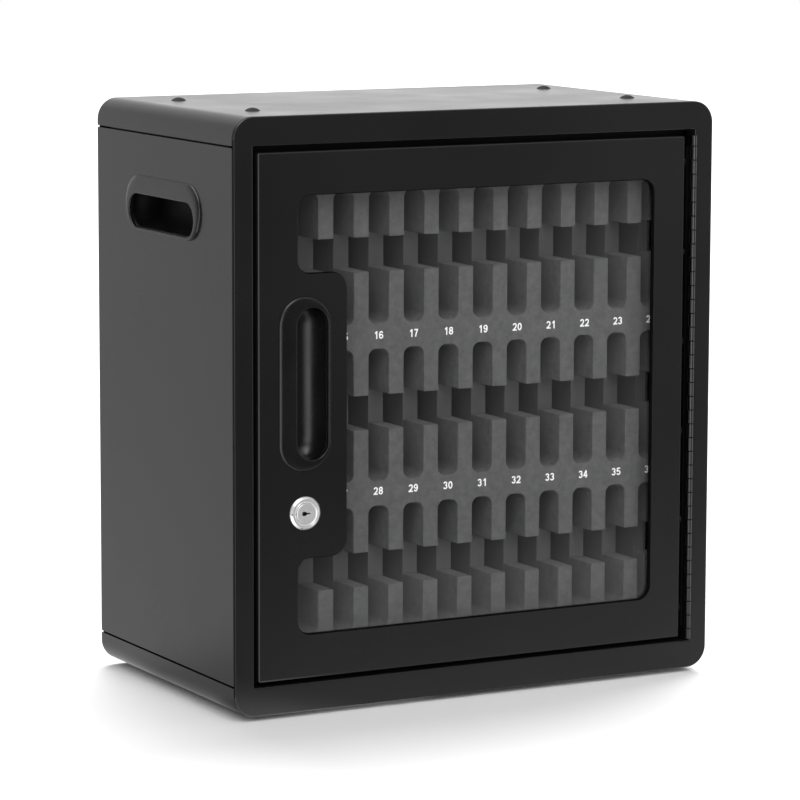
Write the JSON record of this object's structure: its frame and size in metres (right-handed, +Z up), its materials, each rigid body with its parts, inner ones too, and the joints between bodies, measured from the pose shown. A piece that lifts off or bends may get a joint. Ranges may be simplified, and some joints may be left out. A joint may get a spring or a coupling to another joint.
{
  "type": "cell phone locker box",
  "caption": "Black sheet-steel cabinet with a glazed, lockable, piano-hinged door, recessed pulls and a foam block with three rows of upright phone slots.",
  "frame": {"origin": "on the floor, under the middle of the cabinet's overall box", "axes": "+Z up, -Y is the door side, +X is the hinge side"},
  "size_m": [0.405, 0.2368, 0.4378],
  "materials": {
    "black_steel": "satin",
    "hinge_steel": "satin",
    "black_plastic": "gloss",
    "charcoal_foam": "matte",
    "clear_pane": "gloss",
    "black_rubber": "matte",
    "lock_chrome": "polished",
    "zinc_steel": "satin"
  },
  "bodies": {
    "cabinet": {"front_frame": "black_steel", "top_cover": "black_steel", "bottom_cover": "black_steel", "left_side_panel": "black_steel", "right_side_panel": "black_steel", "rear_panel": "black_steel", "left_carry_handle": "black_plastic", "right_carry_handle": "black_plastic", "top_plugs": "black_rubber", "rubber_feet": "black_rubber", "upper_door_stop": "black_steel", "lower_door_stop": "black_steel", "door_stop_pads": "black_rubber", "foam_comb_top": "charcoal_foam", "foam_comb_upper": "charcoal_foam", "foam_comb_lower": "charcoal_foam", "foam_comb_bottom": "charcoal_foam", "foam_dividers_top_row": "charcoal_foam", "foam_dividers_middle_row": "charcoal_foam", "foam_dividers_bottom_row": "charcoal_foam", "foam_shelves": "charcoal_foam", "foam_backing": "charcoal_foam", "hinge_frame_leaf": "hinge_steel", "hinge_pin": "zinc_steel", "hinge_frame_rivets": "hinge_steel"},
    "door": {"door_panel": "black_steel", "door_hinge_angle": "black_steel", "hinge_door_leaf": "hinge_steel", "hinge_door_rivets": "hinge_steel", "window_gasket": "black_rubber", "door_window": "clear_pane", "window_clips": "zinc_steel", "window_studs": "zinc_steel", "window_nuts": "zinc_steel", "door_handle": "black_plastic", "lock_housing": "lock_chrome", "lock_washer": "zinc_steel", "lock_nut": "zinc_steel"},
    "lock": {"lock_plug": "lock_chrome", "lock_cam": "zinc_steel", "cam_screw": "zinc_steel"}
  },
  "joints": [
    {"name": "door_swing", "type": "hinge", "parent": "cabinet", "child": "door", "pos_m": [0.1827, -0.1166, 0.21975], "axis": [0, 0, 1], "range_deg": [0, 170]},
    {"name": "lock_turn", "type": "hinge", "parent": "door", "child": "lock", "pos_m": [-0.1439, -0.1146, 0.1495], "axis": [0, 1, 0], "range_deg": [0, 90]}
  ]
}
